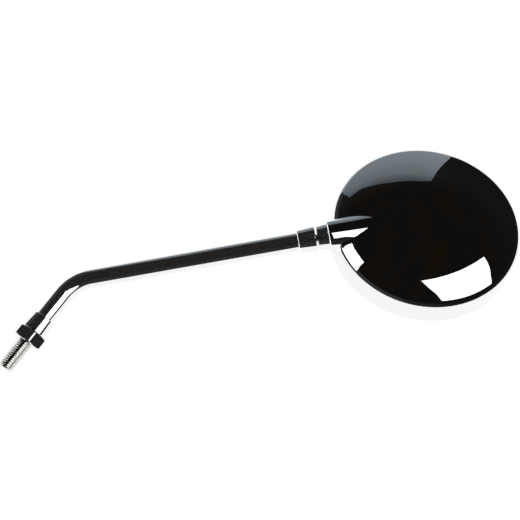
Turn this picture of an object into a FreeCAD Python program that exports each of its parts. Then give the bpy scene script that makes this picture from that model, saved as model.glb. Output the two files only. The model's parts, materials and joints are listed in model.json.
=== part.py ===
import FreeCAD, Part
import math
import os

from FreeCAD import Placement, Rotation, Vector

# A round motorcycle mirror on a bent stem: a threaded stud and lock nut at the foot, a bent tube,
# a sprung ball joint, and a domed shell that holds a convex glass.
# The origin is on the stud's axis, at the top of its free thread, where the lock nut seats. +Z runs up
# the stud, +X is the side that the stem leans to, and the glass looks towards +Y.
# Lengths are in millimetres and angles in degrees.

# Threaded stud and lock nut
STUD_RADIUS = 5.0             # crest of the M10 thread
STUD_REACH = 20.0             # thread below the lock nut
STUD_TIP_CHAMFER = 1.2
THREAD_PITCH_RADIUS = 4.5     # where the threads of the stud and the nut meet
STUD_SPIGOT = 16.0            # length held in the tube
NUT_ACROSS_FLATS = 18.4
NUT_HEIGHT = 8.0
NUT_CORNER_ANGLE = 7.0        # one corner of the hexagon, from +X
NUT_CHAMFER_ANGLE = 30.0
NUT_CLEARANCE = 0.05          # between the nut's thread and the stud's
NUT_SEAT_GAP = 0.1            # at each end of the nut

# Stem tube
TUBE_RADIUS = 6.0
TUBE_WALL = 1.5
BEND_ANGLE = 49.4
BEND_RADIUS = 25.0
APEX_HEIGHT = 49.5            # where the two straight runs would meet
STEM_RUN = 167.2              # from that point to the mouth of the head's boss
FIT_CLEARANCE = 0.05          # between pieces that are pressed or screwed together

# Tapered collar at the foot of the tube
COLLAR_FOOT_RADIUS = 8.1
COLLAR_TOP_RADIUS = 7.2
COLLAR_LENGTH = 11.0
COLLAR_FLOOR = 3.0
COLLAR_CHAMFER = 0.3

# Tapered ferrule at the head end of the tube
FERRULE_TUBE_RADIUS = 7.4
FERRULE_CUP_RADIUS = 8.3      # outer radius at its hollow end
FERRULE_LENGTH = 11.8
FERRULE_WEB = 1.8             # between the hollow end and the tube
FERRULE_CHAMFER = 0.4

# Ball joint, measured from the centre of the ball
BALL_RADIUS = 6.0
BALL_DEPTH = 3.0              # centre of the ball, behind the mouth of the boss
SHANK_RADIUS = 2.8
SHANK_SPIGOT = 16.0           # length held in the tube
JOINT_CLEARANCE = 0.2         # between the spherical faces of the joint
LINER_WALL = 0.7
LINER_FRONT_ANGLE = 42.0      # edge round the shank, from the joint's axis
LINER_REAR_ANGLE = 98.0
CAP_LENGTH = 7.0              # outside the boss
CAP_FACE_RADIUS = 7.8
CAP_ROOT_RADIUS = 8.6
CAP_MOUTH_RADIUS = 6.4
CAP_LIP_RADIUS = 5.2          # opening that keeps the ball in
CAP_SPIGOT = 3.0              # length screwed into the boss
FERRULE_GAP = 1.0             # between the cap's path and the ferrule's hollow end
SEAT_FRONT = 3.0              # front face of the rear seat, behind the ball's centre
SEAT_FLOOR = 1.6
SEAT_CLEARANCE = 0.15         # between the rear seat and the bore
WASHER_THICKNESS = 1.0
WASHER_RADIUS = 7.4
WASHER_HOLE_RADIUS = 3.6
SPRING_COUNT = 3
SPRING_THICKNESS = 0.6
SPRING_CONE = 0.45            # height of one disc spring's cone
END_FLOAT = 0.05              # between the last spring and the floor of the bore

# Domed shell, measured from the circle where the dome meets the side wall
DOME_RADIUS = 60.0
DOME_HEIGHT = 14.0
SHOULDER_RADIUS = 6.0
WALL_DEPTH = 18.0
WALL_FLARE = 0.4              # how much wider the rim is than the dome
SHELL_THICKNESS = 2.4
RIM_LIP = 1.4                 # wall left round the glass
RIM_ROUND = 0.5
BOSS_STANDOFF = 3.1           # mouth of the boss, outside the dome's circle
BOSS_DROP = 4.1               # mouth of the boss, below the dome's circle
BOSS_RAKE = 8.8               # rise of the boss towards the dome
BOSS_SPLAY = 5.8              # lean of the boss's outside from its bore, towards the glass
BOSS_MOUTH_RADIUS = 10.0
BOSS_ROOT_RADIUS = 12.6
BOSS_LENGTH = 34.0
BOSS_ROUND = 0.7              # edge of the mouth
BORE_RADIUS = 7.9
BORE_WALL = 1.6               # round the bore, inside the shell

# Glass, its rubber edge and the foam behind it
GLASS_CURVATURE = 1400.0      # radius of the convex face
GLASS_THICKNESS = 2.6
GLASS_CLEARANCE = 0.1
GASKET_LIP = 1.0
GASKET_WALL = 1.3
GASKET_COVER = 1.4            # how far the lips reach over the glass
PAD_RADIUS = 46.0
PAD_THICKNESS = 2.5

# Sizes that follow from those above
TUBE_BORE = TUBE_RADIUS - TUBE_WALL
COLLAR_FOOT = NUT_HEIGHT + 2 * NUT_SEAT_GAP
TUBE_FOOT = COLLAR_FOOT + COLLAR_FLOOR
CAP_FACE = BALL_DEPTH + CAP_LENGTH
CAP_SWEEP = math.hypot(CAP_FACE, CAP_FACE_RADIUS)
CUP_RADIUS = CAP_SWEEP + FERRULE_GAP
FERRULE_RIM = math.sqrt(CUP_RADIUS ** 2 - FERRULE_CUP_RADIUS ** 2)
TUBE_END = CUP_RADIUS + FERRULE_WEB
LINER_INNER = BALL_RADIUS + JOINT_CLEARANCE
LINER_OUTER = LINER_INNER + LINER_WALL
SOCKET_RADIUS = LINER_OUTER + JOINT_CLEARANCE
SEAT_BACK = LINER_INNER + SEAT_FLOOR
WASHER_BACK = SEAT_BACK + WASHER_THICKNESS
BORE_FLOOR = WASHER_BACK + SPRING_COUNT * (SPRING_CONE + SPRING_THICKNESS) + END_FLOAT
RIM_RADIUS = DOME_RADIUS + WALL_FLARE
RECESS_RADIUS = RIM_RADIUS - RIM_LIP
RECESS_DEPTH = 2 * GASKET_LIP + GLASS_THICKNESS + 4 * GLASS_CLEARANCE
GASKET_RADIUS = RECESS_RADIUS - FIT_CLEARANCE
GLASS_RADIUS = GASKET_RADIUS - GASKET_WALL - GLASS_CLEARANCE
GLASS_BACK = RECESS_DEPTH - WALL_DEPTH - GASKET_LIP - GLASS_CLEARANCE
BOSS_REACH = DOME_RADIUS + BOSS_STANDOFF
DOME_CURVATURE = (DOME_RADIUS ** 2 + DOME_HEIGHT ** 2) / (2 * DOME_HEIGHT)

# Directions and frames
UP = Vector(0, 0, 1)
BEND = math.radians(BEND_ANGLE)
RAKE = math.radians(BOSS_RAKE)
SPLAY = math.radians(BOSS_SPLAY)
STEM_DIRECTION = Vector(math.sin(BEND), 0, math.cos(BEND))
STEM_BACK = Vector(0, -1, 0)
DOME_AXIS = STEM_BACK * math.cos(RAKE) + STEM_DIRECTION * math.sin(RAKE)
TO_STEM = STEM_BACK * math.sin(RAKE) - STEM_DIRECTION * math.cos(RAKE)
APEX = Vector(0, 0, APEX_HEIGHT)
BOSS_MOUTH = APEX + STEM_DIRECTION * STEM_RUN
BALL_CENTRE = BOSS_MOUTH + STEM_DIRECTION * BALL_DEPTH
HEAD_CENTRE = BOSS_MOUTH - TO_STEM * BOSS_REACH + DOME_AXIS * BOSS_DROP

# In the joint's frame, +Z runs from the ball along the shank. In the head's frame, +Z runs out of the
# dome and +X towards the stem.
JOINT_FRAME = Placement(BALL_CENTRE, Rotation(Vector(), DOME_AXIS, STEM_DIRECTION * -1, "ZXY"))
HEAD_FRAME = Placement(HEAD_CENTRE, Rotation(TO_STEM, Vector(), DOME_AXIS, "ZXY"))
BOSS_FRAME = Placement(
    Vector(BOSS_REACH, 0, -BOSS_DROP),
    Rotation(Vector(), Vector(0, 1, 0), Vector(-math.cos(RAKE), 0, math.sin(RAKE)), "ZXY"),
)


def line(start, end):
    """Straight edge between two (radius, height) points of a half section."""
    return Part.makeLine(Vector(start[0], 0, start[1]), Vector(end[0], 0, end[1]))


def arc(start, middle, end):
    """Round edge through three (radius, height) points of a half section."""
    points = [Vector(radius, 0, height) for radius, height in (start, middle, end)]
    return Part.Arc(*points).toShape()


def revolve(edges):
    """Solid turned about Z from the edges of a closed half section."""
    face = Part.Face(Part.Wire(edges))
    return face.revolve(Vector(), UP, 360)


def turned(points):
    """Solid turned about Z from the corners of a half section."""
    return revolve([line(a, b) for a, b in zip(points, points[1:] + points[:1])])


def on_sphere(radius, angle):
    """(radius, height) of a point on a sphere about the origin, by its angle from +Z in degrees."""
    turn = math.radians(angle)
    return radius * math.sin(turn), radius * math.cos(turn)


def spherical_cut(points, radius, start, end):
    """Turned solid whose last side is an arc of a sphere about the origin, between two angles."""
    first, last = on_sphere(radius, start), on_sphere(radius, end)
    edges = [line(a, b) for a, b in zip([first] + points, points + [last])]
    return revolve(edges + [arc(last, on_sphere(radius, (start + end) / 2), first)])


def cylinder(radius, low, high):
    """Cylinder about Z between two heights."""
    return Part.makeCylinder(radius, high - low, Vector(0, 0, low))


def placed(shape, frame):
    """Copy of a shape, moved from its own frame into the part's."""
    moved = shape.copy()
    moved.Placement = frame.multiply(moved.Placement)
    return moved


def threaded_stud():
    """Stud with a chamfered tip, a shank inside the nut and a spigot that is held in the tube."""
    spigot = TUBE_BORE - FIT_CLEARANCE
    tip = STUD_RADIUS - STUD_TIP_CHAMFER
    return turned([
        (0, -STUD_REACH),
        (tip, -STUD_REACH),
        (STUD_RADIUS, STUD_TIP_CHAMFER - STUD_REACH),
        (STUD_RADIUS, 0),
        (THREAD_PITCH_RADIUS, 0),
        (THREAD_PITCH_RADIUS, TUBE_FOOT),
        (spigot, TUBE_FOOT),
        (spigot, TUBE_FOOT + STUD_SPIGOT),
        (0, TUBE_FOOT + STUD_SPIGOT),
    ])


def lock_nut():
    """Hexagon nut with both faces chamfered at the corners."""
    corner = NUT_ACROSS_FLATS / math.sqrt(3)
    angles = [math.radians(NUT_CORNER_ANGLE + 60 * side) for side in range(6)]
    corners = [Vector(corner * math.cos(a), corner * math.sin(a), 0) for a in angles]
    hexagon = Part.Face(Part.makePolygon(corners + corners[:1])).extrude(UP * NUT_HEIGHT)
    flat = NUT_ACROSS_FLATS / 2
    drop = (corner - flat) * math.tan(math.radians(NUT_CHAMFER_ANGLE))
    bore = THREAD_PITCH_RADIUS + NUT_CLEARANCE
    blank = turned([
        (bore, 0),
        (flat, 0),
        (corner, drop),
        (corner, NUT_HEIGHT - drop),
        (flat, NUT_HEIGHT),
        (bore, NUT_HEIGHT),
    ])
    return placed(hexagon.common(blank), Placement(UP * NUT_SEAT_GAP, Rotation()))


def lower_collar():
    """Tapered sleeve over the foot of the tube, with a floor that the tube stands on."""
    top = COLLAR_FOOT + COLLAR_LENGTH
    bore = TUBE_RADIUS + FIT_CLEARANCE
    hole = THREAD_PITCH_RADIUS + FIT_CLEARANCE
    return turned([
        (hole, COLLAR_FOOT),
        (COLLAR_FOOT_RADIUS - COLLAR_CHAMFER, COLLAR_FOOT),
        (COLLAR_FOOT_RADIUS, COLLAR_FOOT + COLLAR_CHAMFER),
        (COLLAR_TOP_RADIUS, top - COLLAR_CHAMFER),
        (COLLAR_TOP_RADIUS - COLLAR_CHAMFER, top),
        (bore, top),
        (bore, TUBE_FOOT),
        (hole, TUBE_FOOT),
    ])


def stem_tube():
    """Round tube with one bend, from the collar's floor to the ferrule's web."""
    tangent = BEND_RADIUS * math.tan(BEND / 2)
    foot = Vector(0, 0, TUBE_FOOT)
    bend_start = APEX - UP * tangent
    bend_end = APEX + STEM_DIRECTION * tangent
    centre = bend_start + Vector(BEND_RADIUS, 0, 0)
    bisector = (APEX - centre).normalize()
    end = BALL_CENTRE - STEM_DIRECTION * TUBE_END
    path = Part.Wire([
        Part.makeLine(foot, bend_start),
        Part.Arc(bend_start, centre + bisector * BEND_RADIUS, bend_end).toShape(),
        Part.makeLine(bend_end, end),
    ])
    skins = [
        path.makePipeShell([Part.Wire(Part.makeCircle(radius, foot, UP))], True, False)
        for radius in (TUBE_RADIUS, TUBE_BORE)
    ]
    return skins[0].cut(skins[1])


def upper_ferrule():
    """Tapered sleeve on the head end of the tube. Its hollow end is a sphere about the ball."""
    back = FERRULE_RIM + FERRULE_LENGTH
    bore = TUBE_RADIUS + FIT_CLEARANCE
    hole = SHANK_RADIUS + FIT_CLEARANCE
    rim_angle = math.degrees(math.asin(FERRULE_CUP_RADIUS / CUP_RADIUS))
    hole_angle = math.degrees(math.asin(hole / CUP_RADIUS))
    return spherical_cut([
        (FERRULE_TUBE_RADIUS, back - FERRULE_CHAMFER),
        (FERRULE_TUBE_RADIUS - FERRULE_CHAMFER, back),
        (bore, back),
        (bore, TUBE_END),
        (hole, TUBE_END),
    ], CUP_RADIUS, rim_angle, hole_angle)


def ball_stud():
    """Ball on a shank, with a spigot that is held in the tube."""
    ball = Part.makeSphere(BALL_RADIUS)
    shank = cylinder(SHANK_RADIUS, 0, TUBE_END)
    spigot = cylinder(TUBE_BORE - FIT_CLEARANCE, TUBE_END, TUBE_END + SHANK_SPIGOT)
    return ball.fuse([shank, spigot]).removeSplitter()


def ball_liner():
    """Thin spherical shell between the ball and its socket, open round the shank and at the rear."""
    front_in, rear_in = on_sphere(LINER_INNER, LINER_FRONT_ANGLE), on_sphere(LINER_INNER, LINER_REAR_ANGLE)
    front_out, rear_out = on_sphere(LINER_OUTER, LINER_FRONT_ANGLE), on_sphere(LINER_OUTER, LINER_REAR_ANGLE)
    middle = (LINER_FRONT_ANGLE + LINER_REAR_ANGLE) / 2
    return revolve([
        arc(front_in, on_sphere(LINER_INNER, middle), rear_in),
        line(rear_in, rear_out),
        arc(rear_out, on_sphere(LINER_OUTER, middle), front_out),
        line(front_out, front_in),
    ])


def joint_cap():
    """Conical cap screwed into the boss. Its lip keeps the ball and the liner in."""
    spigot = BORE_RADIUS - FIT_CLEARANCE
    lip_angle = math.degrees(math.asin(CAP_LIP_RADIUS / SOCKET_RADIUS))
    inner_angle = math.degrees(math.acos((BALL_DEPTH - CAP_SPIGOT) / SOCKET_RADIUS))
    return spherical_cut([
        (CAP_MOUTH_RADIUS, CAP_FACE),
        (CAP_FACE_RADIUS, CAP_FACE),
        (CAP_ROOT_RADIUS, BALL_DEPTH),
        (spigot, BALL_DEPTH),
        (spigot, BALL_DEPTH - CAP_SPIGOT),
    ], SOCKET_RADIUS, lip_angle, inner_angle)


def rear_seat():
    """Cup behind the ball, pushed forward by the springs."""
    outer = BORE_RADIUS - SEAT_CLEARANCE
    edge_angle = math.degrees(math.acos(-SEAT_FRONT / LINER_INNER))
    return spherical_cut([
        (outer, -SEAT_FRONT),
        (outer, -SEAT_BACK),
        (0, -SEAT_BACK),
    ], LINER_INNER, edge_angle, 180)


def thrust_washer():
    """Flat ring between the rear seat and the springs."""
    return cylinder(WASHER_RADIUS, -WASHER_BACK, -SEAT_BACK).cut(
        cylinder(WASHER_HOLE_RADIUS, -WASHER_BACK, -SEAT_BACK))


def disc_springs():
    """Conical springs stacked face to face behind the washer."""
    pitch = SPRING_CONE + SPRING_THICKNESS
    springs = []
    for index in range(SPRING_COUNT):
        top = -WASHER_BACK - index * pitch
        near, far = (WASHER_HOLE_RADIUS, WASHER_RADIUS)
        if index % 2:
            near, far = far, near
        springs.append(turned([
            (near, top),
            (far, top - SPRING_CONE),
            (far, top - pitch),
            (near, top - SPRING_THICKNESS),
        ]))
    return Part.makeCompound(springs)


def boss_solid():
    """Boss in its own frame: a flared cone that leans from the bore, cut square and rounded at its mouth."""
    flare = (BOSS_ROOT_RADIUS - BOSS_MOUTH_RADIUS) / BOSS_LENGTH
    lead = BOSS_MOUTH_RADIUS / 2
    lean = Vector(-math.sin(SPLAY), 0, math.cos(SPLAY))
    cone = Part.makeCone(
        BOSS_MOUTH_RADIUS - flare * lead,
        BOSS_ROOT_RADIUS,
        BOSS_LENGTH + lead,
        lean * -lead,
        lean,
    )
    boss = cone.common(cylinder(DOME_RADIUS, 0, DOME_RADIUS))
    mouth = [edge for edge in boss.Edges if edge.BoundBox.ZMax < FIT_CLEARANCE]
    return boss.makeFillet(BOSS_ROUND, mouth)


def dome_form(inset):
    """Solid of the dome and its side wall, shrunk by an inset, down to the rim."""
    crown = DOME_HEIGHT - inset
    radius = DOME_RADIUS - inset
    rim = RIM_RADIUS - inset
    curvature = DOME_CURVATURE - inset
    centre = crown - curvature
    shoulder = centre + math.sqrt(curvature ** 2 - radius ** 2)
    half = math.asin(radius / curvature) / 2
    middle = (curvature * math.sin(half), centre + curvature * math.cos(half))
    form = revolve([
        line((0, -WALL_DEPTH), (rim, -WALL_DEPTH)),
        line((rim, -WALL_DEPTH), (radius, shoulder)),
        arc((radius, shoulder), middle, (0, crown)),
        line((0, crown), (0, -WALL_DEPTH)),
    ])
    edges = [edge for edge in form.Edges if is_ring(edge, radius)]
    return form.makeFillet(SHOULDER_RADIUS - inset, edges)


def is_ring(edge, radius):
    """True for a circle of the given radius. The crown of the dome is an edge with no curve."""
    if edge.Degenerated or not isinstance(edge.Curve, Part.Circle):
        return False
    return abs(edge.Curve.Radius - radius) < FIT_CLEARANCE


def housing_shell():
    """Domed shell with its boss, bored for the ball joint and recessed for the glass."""
    boss = placed(boss_solid(), BOSS_FRAME)
    floor = BALL_DEPTH + BORE_FLOOR
    bore = placed(cylinder(BORE_RADIUS, 0, floor), BOSS_FRAME)
    sleeve = placed(cylinder(BORE_RADIUS + BORE_WALL, 0, floor + BORE_WALL), BOSS_FRAME)
    dome = dome_form(0)
    rims = [edge for edge in dome.Edges if is_ring(edge, RIM_RADIUS)]
    outside = dome.makeFillet(RIM_ROUND, rims).fuse(boss)
    hollow = dome_form(SHELL_THICKNESS).cut(sleeve)
    recess = cylinder(RECESS_RADIUS, -WALL_DEPTH, RECESS_DEPTH - WALL_DEPTH)
    return outside.cut([hollow, recess, bore]).removeSplitter()


def lens(front, back, radius, edge_front):
    """Turned disc between two spheres about one centre above it, with an upright edge."""
    centre = edge_front + math.sqrt(front ** 2 - radius ** 2)
    half_front = math.asin(radius / front) / 2
    half_back = math.asin(radius / back) / 2
    back_edge = centre - math.sqrt(back ** 2 - radius ** 2)
    front_middle = (front * math.sin(half_front), centre - front * math.cos(half_front))
    back_middle = (back * math.sin(half_back), centre - back * math.cos(half_back))
    return revolve([
        line((0, centre - back), (0, centre - front)),
        arc((0, centre - front), front_middle, (radius, edge_front)),
        line((radius, edge_front), (radius, back_edge)),
        arc((radius, back_edge), back_middle, (0, centre - back)),
    ])


def mirror_glass():
    """Convex glass, even in thickness."""
    front_edge = GLASS_BACK - GLASS_THICKNESS
    return lens(GLASS_CURVATURE, GLASS_CURVATURE - GLASS_THICKNESS, GLASS_RADIUS, front_edge)


def glass_gasket():
    """Rubber ring of U section round the edge of the glass."""
    ledge = RECESS_DEPTH - WALL_DEPTH
    front = ledge - 2 * GASKET_LIP - GLASS_THICKNESS - 3 * GLASS_CLEARANCE
    groove = GASKET_RADIUS - GASKET_WALL
    lip = GLASS_RADIUS - GASKET_COVER
    return turned([
        (lip, ledge),
        (GASKET_RADIUS, ledge),
        (GASKET_RADIUS, front),
        (lip, front),
        (lip, front + GASKET_LIP),
        (groove, front + GASKET_LIP),
        (groove, ledge - GASKET_LIP),
        (lip, ledge - GASKET_LIP),
    ])


def backing_pad():
    """Foam disc glued to the back of the glass."""
    front = GLASS_CURVATURE - GLASS_THICKNESS - FIT_CLEARANCE
    sag = GLASS_CURVATURE - math.sqrt(GLASS_CURVATURE ** 2 - GLASS_RADIUS ** 2)
    crown = GLASS_BACK - sag + FIT_CLEARANCE
    edge = crown + front - math.sqrt(front ** 2 - PAD_RADIUS ** 2)
    return lens(front, front - PAD_THICKNESS, PAD_RADIUS, edge)


STEM_PIECES = {
    "threaded_stud": threaded_stud,
    "lock_nut": lock_nut,
    "lower_collar": lower_collar,
    "stem_tube": stem_tube,
}
JOINT_PIECES = {
    "upper_ferrule": upper_ferrule,
    "ball_stud": ball_stud,
    "ball_liner": ball_liner,
    "joint_cap": joint_cap,
    "rear_seat": rear_seat,
    "thrust_washer": thrust_washer,
    "disc_springs": disc_springs,
}
HEAD_PIECES = {
    "housing_shell": housing_shell,
    "mirror_glass": mirror_glass,
    "glass_gasket": glass_gasket,
    "backing_pad": backing_pad,
}

os.makedirs("parts", exist_ok=True)
for frame, pieces in (
    (Placement(), STEM_PIECES),
    (JOINT_FRAME, JOINT_PIECES),
    (HEAD_FRAME, HEAD_PIECES),
):
    for name, make in pieces.items():
        placed(make(), frame).exportStep("parts/" + name + ".step")
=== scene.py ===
# %% [markdown]
# # A round chrome mirror on a bent stem
# The part arrives as measured solids in one fixed frame, in metres. Nothing here moves or resizes them.
# This lesson gives each piece its finish, builds the fine forms that the solids leave plain, such as the
# thread and the softened edges, and sets up the small studio that makes chrome look like chrome.

import json
import math

import bmesh
import bpy
from mathutils import Matrix, Vector


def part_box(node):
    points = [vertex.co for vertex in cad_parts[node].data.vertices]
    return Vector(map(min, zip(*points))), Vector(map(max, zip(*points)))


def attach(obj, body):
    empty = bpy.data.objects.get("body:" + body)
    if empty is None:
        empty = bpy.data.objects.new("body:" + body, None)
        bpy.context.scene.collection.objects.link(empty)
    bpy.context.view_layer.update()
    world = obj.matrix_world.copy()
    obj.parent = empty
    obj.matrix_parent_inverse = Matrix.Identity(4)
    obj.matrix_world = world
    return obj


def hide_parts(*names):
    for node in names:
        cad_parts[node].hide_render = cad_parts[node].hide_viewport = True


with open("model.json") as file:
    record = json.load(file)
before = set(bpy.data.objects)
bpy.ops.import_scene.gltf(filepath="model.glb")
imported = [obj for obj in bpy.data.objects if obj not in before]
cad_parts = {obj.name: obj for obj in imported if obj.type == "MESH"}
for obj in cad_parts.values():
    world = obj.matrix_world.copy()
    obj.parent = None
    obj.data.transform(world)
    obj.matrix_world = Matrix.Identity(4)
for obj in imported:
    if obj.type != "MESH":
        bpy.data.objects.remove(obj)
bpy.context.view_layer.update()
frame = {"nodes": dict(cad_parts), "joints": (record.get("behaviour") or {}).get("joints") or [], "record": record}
nodes = frame["nodes"]
joints = {joint["name"]: joint for joint in frame["joints"]}
scene = bpy.context.scene

# %% [markdown]
# ## The directions that the part is built on
# The foot of the stem stands on Z. The upper run of the stem points along the swivel axis of the ball
# joint, and the head's own axis comes out of its domed back. A ring's box is centred on the ring, so the
# rubber ring round the glass gives a point on that axis, and the foot of the dome lies a little further
# back. Taking these from the frame keeps every piece in place if a size changes.

# %% Directions and centres
DOME_RAKE = math.radians(8.8)       # how far the dome's axis leans towards the stem's upper run
RING_BACK = -0.0130                 # back and front of the rubber ring, from the foot of the dome
RING_FRONT = -0.0179

STEM = Vector(joints["head_swivel"]["axis"]).normalized()
BALL = Vector(joints["head_swivel"]["pos_m"])
UP = Vector((0, 0, 1))
BACK = Vector((0, -1, 0))
DOME = (BACK * math.cos(DOME_RAKE) + STEM * math.sin(DOME_RAKE)).normalized()
TO_STEM = (BACK * math.sin(DOME_RAKE) - STEM * math.cos(DOME_RAKE)).normalized()
ACROSS = DOME.cross(TO_STEM)
ring_low, ring_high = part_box("glass_gasket")
HEAD = (ring_low + ring_high) / 2 - DOME * (RING_BACK + RING_FRONT) / 2
print("Head centre", [round(x, 4) for x in HEAD], "dome axis", [round(x, 3) for x in DOME])

# %% [markdown]
# ## The camera
# The picture looks at the domed back from below and to the right, with the stem running across it. The
# camera is written as a place and two directions, because a rolled view is hard to read as angles. Its
# focal length comes from the picture's perspective, counted in pixels of a square frame.

# %% Camera
IMAGE_SIDE = 520                    # pixels
FOCAL_PIXELS = 850
SENSOR = 36.0                       # millimetres
CLIP_START = 0.01
EYE = Vector((0.2959, -0.4684, -0.0616))
VIEW_RIGHT = Vector((0.8266, 0.1352, 0.5463))
VIEW_BACK = Vector((0.3663, -0.8661, -0.3401)).normalized()

view_up = VIEW_BACK.cross(VIEW_RIGHT).normalized()
view_right = view_up.cross(VIEW_BACK)
camera_data = bpy.data.cameras.new("camera")
camera_data.sensor_width = SENSOR
camera_data.lens = SENSOR * FOCAL_PIXELS / IMAGE_SIDE
camera_data.clip_start = CLIP_START
camera = bpy.data.objects.new("camera", camera_data)
scene.collection.objects.link(camera)
turn = Matrix((view_right, view_up, VIEW_BACK)).transposed().to_4x4()
camera.matrix_world = Matrix.Translation(EYE) @ turn
scene.camera = camera
print("Camera with a lens of", round(camera_data.lens, 1), "mm")

# %% [markdown]
# ## Shader sums as plain expressions
# A material is a tree of nodes, and sums on it are hard to follow when each step is a node made by hand.
# One small class wraps an output socket, so that `0.02 + smudge * 0.03` adds the Math nodes by itself.

# %% A class for sockets
class Value:
    """An output socket. Sums and products with numbers or other values add Math nodes to its tree."""

    def __init__(self, finish, socket):
        self.finish = finish
        self.socket = socket

    def combine(self, operation, first, second):
        return self.finish.node("ShaderNodeMath", {"operation": operation}, {0: first, 1: second})

    def __add__(self, other):
        return self.combine("ADD", self, other)

    def __radd__(self, other):
        return self.combine("ADD", other, self)

    def __mul__(self, other):
        return self.combine("MULTIPLY", self, other)

    def __rmul__(self, other):
        return self.combine("MULTIPLY", other, self)

    def out(self, name):
        """Another output of the same node, by its name or number."""
        return Value(self.finish, self.socket.node.outputs[name])


print("Sums on sockets are ready")

# %% [markdown]
# ## One way to add a node
# Every other node comes from one method: its type, its settings, then what goes into its sockets. The
# methods after it are the few patterns that the finishes share: a place on the piece, noise, a soft step,
# a blend of two colours and a bump. A finish then reads as a short list of what is seen on the surface.

# %% A class for materials
class Finish:
    """A material, or the world, under construction."""

    def __init__(self, owner):
        owner.use_nodes = True
        self.tree = owner.node_tree
        self.tree.nodes.clear()

    def node(self, kind, settings=None, inputs=None):
        """Adds a node with its settings, plugs its inputs in and returns its first output."""
        node = self.tree.nodes.new(kind)
        for name, value in (settings or {}).items():
            if name == "stops":
                self.stops(node.color_ramp, value)
            else:
                setattr(node, name, value)
        for name, value in (inputs or {}).items():
            if isinstance(value, Value):
                self.tree.links.new(value.socket, node.inputs[name])
            else:
                node.inputs[name].default_value = value
        return Value(self, node.outputs[0]) if node.outputs else None

    def stops(self, ramp, stops):
        """Colours along a ramp, each with its position."""
        for index, (position, colour) in enumerate(stops):
            stop = ramp.elements[index] if index < len(ramp.elements) else ramp.elements.new(position)
            stop.position = position
            stop.color = colour

    def place(self, scale=(1, 1, 1)):
        """Position on the piece in metres, stretched by a scale."""
        where = self.node("ShaderNodeTexCoord").out("Object")
        return self.node("ShaderNodeMapping", {}, {"Vector": where, "Scale": scale})

    def vector(self, operation, first, second=(0, 0, 0)):
        return self.node("ShaderNodeVectorMath", {"operation": operation}, {0: first, 1: second})

    def noise(self, where, scale, detail):
        return self.node("ShaderNodeTexNoise", {}, {"Vector": where, "Scale": scale, "Detail": detail})

    def step(self, value, low, high):
        """Value spread so that low gives 0 and high gives 1, with a soft end on both sides."""
        return self.node("ShaderNodeMapRange", {"interpolation_type": "SMOOTHSTEP"},
                         {"Value": value, "From Min": low, "From Max": high})

    def blend(self, share, first, second):
        """Colour between two colours."""
        return self.node("ShaderNodeMix", {"data_type": "RGBA"}, {0: share, 6: first, 7: second}).out(2)

    def bump(self, height, distance):
        return self.node("ShaderNodeBump", {}, {"Height": height, "Distance": distance})

    def surface(self, shader):
        kind = "World" if isinstance(self.tree.id_data, bpy.types.World) else "Material"
        self.node("ShaderNodeOutput" + kind, {}, {"Surface": shader})


def new_finish(name):
    """A new material and the finish that builds it. Nothing here is sampled as a lamp."""
    material = bpy.data.materials.new(name)
    material.cycles.emission_sampling = "NONE"
    return material, Finish(material)


print("Finish helpers are ready")

# %% [markdown]
# ## Chrome
# Chrome plate has almost no colour of its own: it is a metal with a very smooth skin, and what the eye
# sees is the room. A perfect mirror looks unreal, so the skin gets three faint faults that the real one
# has: the slow ripple left by polishing, hair-fine wiping marks, and smudges where hands have dulled it.
# They change its tint, its roughness and its slope by very little. Plate on steel is a trace hazier than
# plate on plastic, so its blacks are less deep. Scales of noise count its waves in a metre, and a spread
# is the two levels of noise between which a mark sets in.

# %% Chrome
CHROME_COLOUR = (0.90, 0.91, 0.925, 1)
CHROME_HAZE = (0.83, 0.835, 0.84, 1)
SMUDGE_SCALE = 38
SMUDGE_SPREAD = (0.52, 0.78)
SMUDGE_TINT = 0.6                   # how far a smudge goes towards the hazy colour
WIPE_SCALE = (900, 90, 260)         # unequal, so that the marks run one way
WIPE_SPREAD = (0.62, 0.9)
WAVE_SCALE = 55
CHROME_DULLING = 0.012              # roughness that a smudge or a wiping mark adds


def chrome(name, ripple, polish, haze):
    """Polished plate: ripple is the height of the polishing waves in metres, polish the base roughness,
    and haze the small share of light that the plate scatters."""
    material, finish = new_finish(name)
    where = finish.place()
    smudge = finish.step(finish.noise(where, SMUDGE_SCALE, 4), *SMUDGE_SPREAD)
    wipes = finish.step(finish.noise(finish.place(WIPE_SCALE), 1, 3), *WIPE_SPREAD)
    waves = finish.noise(where, WAVE_SCALE, 1)
    shader = finish.node("ShaderNodeBsdfPrincipled", {}, {
        "Base Color": finish.blend(smudge * SMUDGE_TINT, CHROME_COLOUR, CHROME_HAZE),
        "Metallic": 1.0 - haze,
        "Roughness": polish + smudge * CHROME_DULLING + wipes * CHROME_DULLING,
        "Normal": finish.bump(waves, ripple),
    })
    finish.surface(shader)
    return material


chromed_steel = chrome("chromed_steel", ripple=0.000002, polish=0.025, haze=0.014)
chromed_plastic = chrome("chromed_plastic", ripple=0.000005, polish=0.014, haze=0.0)
print("Made", chromed_steel.name, "and", chromed_plastic.name)

# %% [markdown]
# ## Plain metals
# The stud is bright zinc plate over cut threads, greyer and less smooth than the chrome. The washer and
# the disc springs inside are dark oiled steel. Turned metal shows fine rings round its axis, and noise
# that is squeezed along the axis draws them.

# %% Plain metals
CLOUD_SCALE = 420
CLOUD_SPREAD = (0.35, 0.7)
CLOUD_DULLING = 0.08
TURNING_SCALE = 20                  # across the axis, where the rings hardly change
TURNING_HEIGHT = 0.000003


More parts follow.
